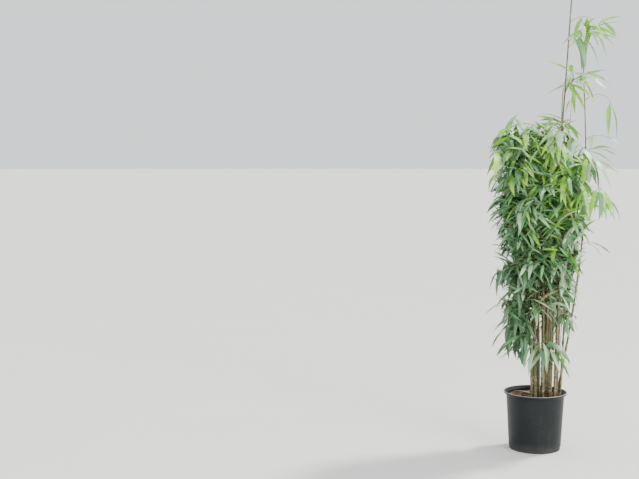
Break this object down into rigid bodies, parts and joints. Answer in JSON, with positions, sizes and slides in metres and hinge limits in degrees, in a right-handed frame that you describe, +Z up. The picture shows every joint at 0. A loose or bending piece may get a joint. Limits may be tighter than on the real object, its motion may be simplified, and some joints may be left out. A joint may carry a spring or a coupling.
{
  "type": "potted bamboo",
  "caption": "Arrow bamboo clump growing in a round black nursery pot, with slim bare canes below, a leafy crown above and tall shoots rising out of it.",
  "frame": {"origin": "middle of the pot's flat underside", "axes": "+Z up along the pot's axis and the canes, -Y towards the viewer of the picture, +X to the right"},
  "size_m": [0.6667, 0.5678, 2.5786],
  "materials": {
    "pot": "satin black, scuffed",
    "soil": "dark moist bark and peat",
    "cane": "smooth, tan where sheathed",
    "foliage": "glossy green"
  },
  "bodies": {
    "root": {"cane_01": "cane", "cane_02": "cane", "cane_03": "cane", "cane_04": "cane", "cane_05": "cane", "cane_06": "cane", "cane_07": "cane", "cane_08": "cane", "cane_09": "cane", "cane_10": "cane", "cane_11": "cane", "cane_12": "cane", "cane_13": "cane", "cane_14": "cane", "cane_15": "cane", "cane_16": "cane", "cane_17": "cane", "cane_18": "cane", "cane_19": "cane", "cane_20": "cane", "cane_21": "cane", "cane_arching": "cane", "cane_arching_end": "cane", "cane_outlying": "cane", "cane_tall": "cane", "foliage_01": "foliage", "foliage_02": "foliage", "foliage_03": "foliage", "foliage_04": "foliage", "foliage_05": "foliage", "foliage_06": "foliage", "foliage_07": "foliage", "foliage_08": "foliage", "foliage_09": "foliage", "foliage_10": "foliage", "foliage_11": "foliage", "foliage_12": "foliage", "foliage_13": "foliage", "foliage_14": "foliage", "foliage_15": "foliage", "foliage_16": "foliage", "foliage_17": "foliage", "foliage_18": "foliage", "foliage_19": "foliage", "foliage_20": "foliage", "foliage_21": "foliage", "foliage_22": "foliage", "foliage_23": "foliage", "foliage_24": "foliage", "foliage_25": "foliage", "foliage_26": "foliage", "foliage_27": "foliage", "foliage_arching_side": "foliage", "foliage_arching_tip": "foliage", "foliage_low_front": "foliage", "foliage_outlying_tip": "foliage", "foliage_tall_side": "foliage", "foliage_tall_tip": "foliage", "pot": "pot", "potting_soil": "soil"}
  },
  "joints": []
}
